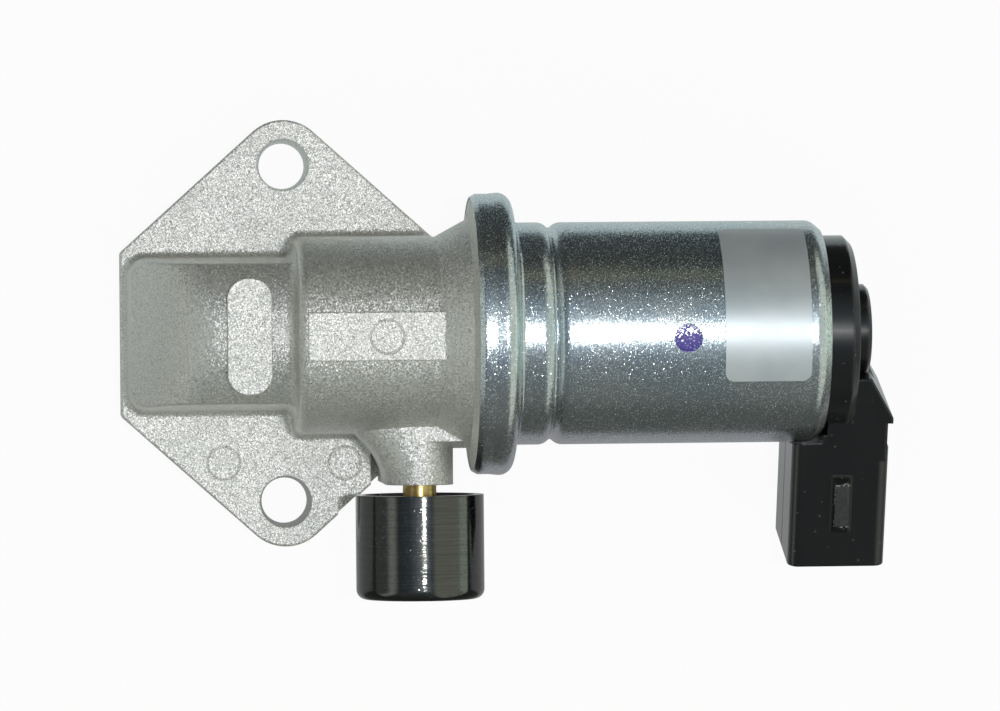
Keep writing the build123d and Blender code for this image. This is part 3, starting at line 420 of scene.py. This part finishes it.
def inspection_ink():
    """Purple marking ink, thin and broken up over the plating at one side."""
    s = Shader("inspection_ink")
    specks = s.noise(0.34, detail=2.0)
    height = s.span(s.along("Y"), -1.4, 1.8)
    gaps = s.span(s.math("ADD", specks, s.math("MULTIPLY", height, 0.24)), 0.60, 0.70)
    s.set("base color", s.mix(gaps, (0.065, 0.035, 0.36), (0.72, 0.76, 0.80)))
    s.set("metallic", gaps)
    s.set("roughness", s.span(gaps, 0.0, 1.0, 0.42, 0.18))
    s.set("normal", s.bump(specks, 0.01))
    return s.material


finishes = {
    "cast_aluminium": cast_aluminium(),
    "plated_steel": plated_steel(),
    "steel": machined_steel(),
    "brass": brass(),
    "bronze": bronze(),
    "copper_winding": copper_winding(),
    "black_plastic": black_plastic(),
    "gloss_black": gloss_black(),
    "bobbin_plastic": bobbin_plastic(),
    "seal_rubber": seal_rubber(),
    "filter_foam": filter_foam(),
    "tin_plate": tin_plate(),
    "label_foil": label_foil(),
}


def dress_nodes():
    """Gives every node of the frame the finish that its record slot names."""
    for part in frame["record"]["subparts"]:
        node = nodes[part["node"]]
        finish = finishes[part["material_slot"]]
        node.data.materials.clear()
        node.data.materials.append(finish)


def new_piece(name, mesh, finish):
    """A piece of the scene's own that rides on the housing."""
    piece = bpy.data.objects.new(name, mesh)
    bpy.context.scene.collection.objects.link(piece)
    mesh.materials.append(finish)
    for face in mesh.polygons:
        face.use_smooth = True
    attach(piece, "housing")
    return piece


def crimp_edge():
    """The front edge of the can, rolled down thin over the rim of the body's disc."""
    disc_r = can_high_r - bead_over_lip
    lip_r = disc_r + 0.20 * MM
    buried_r = disc_r - 0.50 * MM
    slope = radians(28)
    bend_r = 0.60 * MM
    bend_x = crimp_left + 1.03 * MM
    sides = 288
    steps = 6
    profile = [(crimp_right, buried_r), (crimp_right, lip_r)]
    for step in range(steps + 1):
        turn = slope * step / steps
        profile.append((bend_x - bend_r * sin(turn), lip_r - bend_r * (1 - cos(turn))))
    bend_end, bend_low = profile[-1]
    profile.append((crimp_left, bend_low - (bend_end - crimp_left) * tan(slope)))
    profile.append((crimp_left, buried_r))
    shape = bmesh.new()
    rows = []
    for side in range(sides):
        angle = 2 * pi * side / sides
        rows.append([
            shape.verts.new((x, axis_y + r * sin(angle), axis_z + r * cos(angle))) for x, r in profile
        ])
    corners = len(profile)
    for row, after in zip(rows, rows[1:] + rows[:1]):
        for here in range(corners):
            beyond = (here + 1) % corners
            shape.faces.new((row[here], after[here], after[beyond], row[beyond]))
    bmesh.ops.recalc_face_normals(shape, faces=shape.faces)
    mesh = bpy.data.meshes.new("crimp_edge")
    shape.to_mesh(mesh)
    shape.free()
    piece = new_piece("crimp_edge", mesh, finishes["plated_steel"])
    mesh.set_sharp_from_angle(angle=radians(40))
    return piece


def working_spring():
    """The return spring as a piece of the scene's own on the housing, in place of the frame's spring,
    which is hidden.
    """
    mesh = nodes["return_spring"].data.copy()
    mesh.transform(nodes["return_spring"].matrix_world)
    mesh.materials.clear()
    piece = new_piece("working_spring", mesh, finishes["steel"])
    mesh.set_sharp_from_angle(angle=radians(70))
    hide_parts("return_spring")
    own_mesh(piece)
    return piece


def ink_mark():
    """A dab of ink on the can, a little ragged round its rim."""
    dab_x = 66.5 * MM
    dab_y = -1.3 * MM
    dab_r = 2.4 * MM
    film = 0.03 * MM
    rings = 10
    spokes = 72
    shape = bmesh.new()
    wobble = [random.uniform(-0.05, 0.05) for _ in range(spokes)]
    centre_angle = (dab_y - axis_y) / can_r
    rows = []
    for ring in range(rings + 1):
        row = []
        for spoke in range(spokes):
            turn = 2 * pi * spoke / spokes
            reach = dab_r * ring / rings * (1 + wobble[spoke] * ring / rings)
            angle = centre_angle + reach * sin(turn) / can_r
            lift = can_r + film * (1.0 if ring < rings else 0.1)
            row.append(shape.verts.new((
                dab_x + reach * cos(turn), axis_y + lift * sin(angle), axis_z + lift * cos(angle)
            )))
            if ring == 0:
                break
        rows.append(row)
    for inner, outer in zip(rows, rows[1:]):
        for spoke in range(spokes):
            after = (spoke + 1) % spokes
            if len(inner) == 1:
                shape.faces.new((inner[0], outer[spoke], outer[after]))
            else:
                shape.faces.new((inner[spoke], outer[spoke], outer[after], inner[after]))
    mesh = bpy.data.meshes.new("ink_mark")
    shape.to_mesh(mesh)
    shape.free()
    return new_piece("ink_mark", mesh, inspection_ink())


def build_floor():
    """A white floor. It keeps the object's shadow, and its mirror image fades away sideways."""
    half = 3.0
    drop = 0.05 * MM
    paper_tone = (0.92, 0.92, 0.92, 1.0)
    glow_share = 0.94  # of what the camera sees; the rest is lit paper with its shadow
    mirror_ends = (0.054, 0.066)
    mirror_stretch = (0.15, 1.0, 1.0)
    turnover = 0.03  # half the strip where the near side's tone gives way to the far side's
    mesh = bpy.data.meshes.new("floor")
    shape = bmesh.new()
    bmesh.ops.create_grid(shape, x_segments=1, y_segments=1, size=half)
    shape.to_mesh(mesh)
    shape.free()
    floor = bpy.data.objects.new("floor", mesh)
    bpy.context.scene.collection.objects.link(floor)
    floor.location = (middle.x, 0.0, cad_box[0].z - drop)

    material = bpy.data.materials.new("floor")
    material.use_nodes = True
    tree = material.node_tree
    tree.nodes.clear()
    output = tree.nodes.new("ShaderNodeOutputMaterial")
    light_path = tree.nodes.new("ShaderNodeLightPath")
    paper = tree.nodes.new("ShaderNodeBsdfDiffuse")
    paper.inputs["Color"].default_value = paper_tone
    glow = tree.nodes.new("ShaderNodeEmission")
    glow.inputs["Color"].default_value = (1.0, 1.0, 1.0, 1.0)
    glow.inputs["Strength"].default_value = 1.0
    seen = tree.nodes.new("ShaderNodeMixShader")
    seen.inputs["Fac"].default_value = glow_share
    tree.links.new(paper.outputs["BSDF"], seen.inputs[1])
    tree.links.new(glow.outputs["Emission"], seen.inputs[2])

    # In a mirror the paper ends some way from the object
    coords = tree.nodes.new("ShaderNodeTexCoord")
    stretched = tree.nodes.new("ShaderNodeVectorMath")
    stretched.operation = "MULTIPLY"
    stretched.inputs[1].default_value = mirror_stretch
    reach = tree.nodes.new("ShaderNodeVectorMath")
    reach.operation = "LENGTH"
    fade = tree.nodes.new("ShaderNodeMapRange")
    fade.interpolation_type = "SMOOTHSTEP"
    for name, number in (
        ("From Min", mirror_ends[0]), ("From Max", mirror_ends[1]), ("To Min", 1.0), ("To Max", 0.0)
    ):
        fade.inputs[name].default_value = number
    mirrored = tree.nodes.new("ShaderNodeEmission")
    split = tree.nodes.new("ShaderNodeSeparateXYZ")
    which_side = tree.nodes.new("ShaderNodeMapRange")
    which_side.inputs["From Min"].default_value = -turnover
    which_side.inputs["From Max"].default_value = turnover
    tree.links.new(coords.outputs["Object"], split.inputs["Vector"])
    tree.links.new(split.outputs["Y"], which_side.inputs["Value"])
    tones = []
    for lower, upper in (
        ((0.085, 0.095, 0.085, 1.0), (0.050, 0.056, 0.056, 1.0)),
        ((0.335, 0.345, 0.350, 1.0), (0.56, 0.62, 0.615, 1.0)),
    ):
        sides = tree.nodes.new("ShaderNodeMix")
        sides.data_type = "RGBA"
        sides.inputs[6].default_value = lower
        sides.inputs[7].default_value = upper
        tree.links.new(which_side.outputs["Result"], sides.inputs["Factor"])
        tones.append(sides.outputs[2])
    mirror_tone = tree.nodes.new("ShaderNodeMix")
    mirror_tone.data_type = "RGBA"
    tree.links.new(fade.outputs["Result"], mirror_tone.inputs["Factor"])
    tree.links.new(tones[0], mirror_tone.inputs[6])
    tree.links.new(tones[1], mirror_tone.inputs[7])
    tree.links.new(mirror_tone.outputs[2], mirrored.inputs["Color"])
    tree.links.new(coords.outputs["Object"], stretched.inputs[0])
    tree.links.new(stretched.outputs["Vector"], reach.inputs[0])
    tree.links.new(reach.outputs["Value"], fade.inputs["Value"])

    by_camera = tree.nodes.new("ShaderNodeMixShader")
    by_mirror = tree.nodes.new("ShaderNodeMixShader")
    tree.links.new(light_path.outputs["Is Camera Ray"], by_camera.inputs["Fac"])
    tree.links.new(paper.outputs["BSDF"], by_camera.inputs[1])
    tree.links.new(seen.outputs["Shader"], by_camera.inputs[2])
    tree.links.new(light_path.outputs["Is Glossy Ray"], by_mirror.inputs["Fac"])
    tree.links.new(by_camera.outputs["Shader"], by_mirror.inputs[1])
    tree.links.new(mirrored.outputs["Emission"], by_mirror.inputs[2])
    tree.links.new(by_mirror.outputs["Shader"], output.inputs["Surface"])
    mesh.materials.append(material)
    return floor


def angle_ramp(tree, height, stops):
    """Tone by the angle from straight overhead, given as (degrees, red, green, blue)."""
    ramp = tree.nodes.new("ShaderNodeValToRGB")
    tree.links.new(height, ramp.inputs["Fac"])
    elements = ramp.color_ramp.elements
    elements[0].position = 0.0
    elements[0].color = (*stops[-1][1:], 1.0)
    elements[1].position = 1.0
    elements[1].color = (*stops[0][1:], 1.0)
    for angle, *tone in stops[1:]:
        stop = elements.new(cos(radians(angle)))
        stop.color = (*tone, 1.0)
    return ramp.outputs["Color"]


def build_world():
    """A studio tent: bright overhead and past both ends of the object, dark along its sides."""
    turnover = 0.06  # half the strip where the near side gives way to the far side
    world = bpy.data.worlds.new("studio")
    bpy.context.scene.world = world
    world.use_nodes = True
    tree = world.node_tree
    tree.nodes.clear()
    output = tree.nodes.new("ShaderNodeOutputWorld")
    light_path = tree.nodes.new("ShaderNodeLightPath")
    coords = tree.nodes.new("ShaderNodeTexCoord")
    split = tree.nodes.new("ShaderNodeSeparateXYZ")
    tree.links.new(coords.outputs["Generated"], split.inputs["Vector"])
    far_side = angle_ramp(tree, split.outputs["Z"], (
        (0, 0.75, 0.80, 0.86), (12, 0.46, 0.52, 0.58), (21, 0.28, 0.33, 0.38),
        (33, 0.20, 0.235, 0.26), (46, 0.085, 0.095, 0.10), (60, 0.050, 0.054, 0.052),
        (62, 0.36, 0.33, 0.20), (63, 0.36, 0.33, 0.20), (65, 0.050, 0.050, 0.048),
        (80, 0.040, 0.042, 0.040),
    ))
    near_side = angle_ramp(tree, split.outputs["Z"], (
        (0, 0.75, 0.80, 0.86), (12, 0.38, 0.43, 0.50), (21, 0.18, 0.21, 0.26),
        (40, 0.15, 0.165, 0.17), (75, 0.125, 0.135, 0.13), (89, 0.090, 0.100, 0.090),
    ))
    which_side = tree.nodes.new("ShaderNodeMapRange")
    which_side.inputs["From Min"].default_value = -turnover
    which_side.inputs["From Max"].default_value = turnover
    tree.links.new(split.outputs["Y"], which_side.inputs["Value"])
    sides = tree.nodes.new("ShaderNodeMix")
    sides.data_type = "RGBA"
    tree.links.new(which_side.outputs["Result"], sides.inputs["Factor"])
    tree.links.new(near_side, sides.inputs[6])
    tree.links.new(far_side, sides.inputs[7])
    tent = sides.outputs[2]
    for start, full, tone in (
        (0.30, 0.42, (0.64, 0.66, 0.58, 1.0)), (0.93, 0.97, (0.96, 1.10, 0.92, 1.0)),
        (-0.66, -0.80, (0.84, 0.88, 0.82, 1.0)), (-0.84, -0.93, (0.24, 0.25, 0.24, 1.0)),
    ):
        towards_end = tree.nodes.new("ShaderNodeMapRange")
        towards_end.interpolation_type = "SMOOTHSTEP"
        towards_end.inputs["From Min"].default_value = start
        towards_end.inputs["From Max"].default_value = full
        tree.links.new(split.outputs["X"], towards_end.inputs["Value"])
        end = tree.nodes.new("ShaderNodeMix")
        end.data_type = "RGBA"
        tree.links.new(towards_end.outputs["Result"], end.inputs["Factor"])
        tree.links.new(tent, end.inputs[6])
        end.inputs[7].default_value = tone
        tent = end.outputs[2]

    mirrored = tree.nodes.new("ShaderNodeBackground")
    tree.links.new(tent, mirrored.inputs["Color"])
    soft = tree.nodes.new("ShaderNodeBackground")
    near = tree.nodes.new("ShaderNodeMapRange")
    near.inputs["From Min"].default_value = -1.0
    near.inputs["From Max"].default_value = 0.6
    tree.links.new(split.outputs["Y"], near.inputs["Value"])
    daylight = tree.nodes.new("ShaderNodeMix")
    daylight.data_type = "RGBA"
    daylight.inputs[6].default_value = (0.88, 0.95, 0.84, 1.0)
    daylight.inputs[7].default_value = (0.12, 0.12, 0.12, 1.0)
    tree.links.new(near.outputs["Result"], daylight.inputs["Factor"])
    tree.links.new(daylight.outputs[2], soft.inputs["Color"])
    behind = tree.nodes.new("ShaderNodeBackground")
    behind.inputs["Color"].default_value = (1.0, 1.0, 1.0, 1.0)
    by_mirror = tree.nodes.new("ShaderNodeMixShader")
    by_camera = tree.nodes.new("ShaderNodeMixShader")
    tree.links.new(light_path.outputs["Is Glossy Ray"], by_mirror.inputs["Fac"])
    tree.links.new(soft.outputs["Background"], by_mirror.inputs[1])
    tree.links.new(mirrored.outputs["Background"], by_mirror.inputs[2])
    tree.links.new(light_path.outputs["Is Camera Ray"], by_camera.inputs["Fac"])
    tree.links.new(by_mirror.outputs["Shader"], by_camera.inputs[1])
    tree.links.new(behind.outputs["Background"], by_camera.inputs[2])
    tree.links.new(by_camera.outputs["Shader"], output.inputs["Surface"])


def area_light(name, place, target, size, power, tone=(1.0, 1.0, 1.0)):
    data = bpy.data.lights.new(name, "AREA")
    data.shape = "RECTANGLE"
    data.size, data.size_y = size
    data.energy = power
    data.color = tone
    lamp = bpy.data.objects.new(name, data)
    bpy.context.scene.collection.objects.link(lamp)
    lamp.location = place
    lamp.rotation_euler = (Vector(target) - Vector(place)).to_track_quat("-Z", "Y").to_euler()
    return lamp


def build_lights():
    """One soft box over the object."""
    place = (0.11, 0.0, 1.20)
    target = (middle.x, 0.0, axis_z)
    size = (0.05, 0.09)
    watts = 3.3
    area_light("key", place, target, size, watts)


def build_camera():
    data = bpy.data.cameras.new("camera")
    data.lens = camera_lens
    data.sensor_width = sensor_width
    data.clip_start = 0.05
    data.clip_end = 20.0
    camera = bpy.data.objects.new("camera", data)
    bpy.context.scene.collection.objects.link(camera)
    turn = (
        Matrix.Rotation(camera_roll, 4, "Z")
        @ Matrix.Rotation(camera_pitch, 4, "Y")
        @ Matrix.Rotation(camera_lean, 4, "X")
    )
    camera.matrix_world = Matrix.Translation(camera_place) @ turn
    bpy.context.scene.camera = camera


dress_nodes()
crimp_edge()
working_spring()
ink_mark()
build_floor()
build_world()
build_lights()
build_camera()
bpy.context.scene.view_settings.view_transform = "Standard"
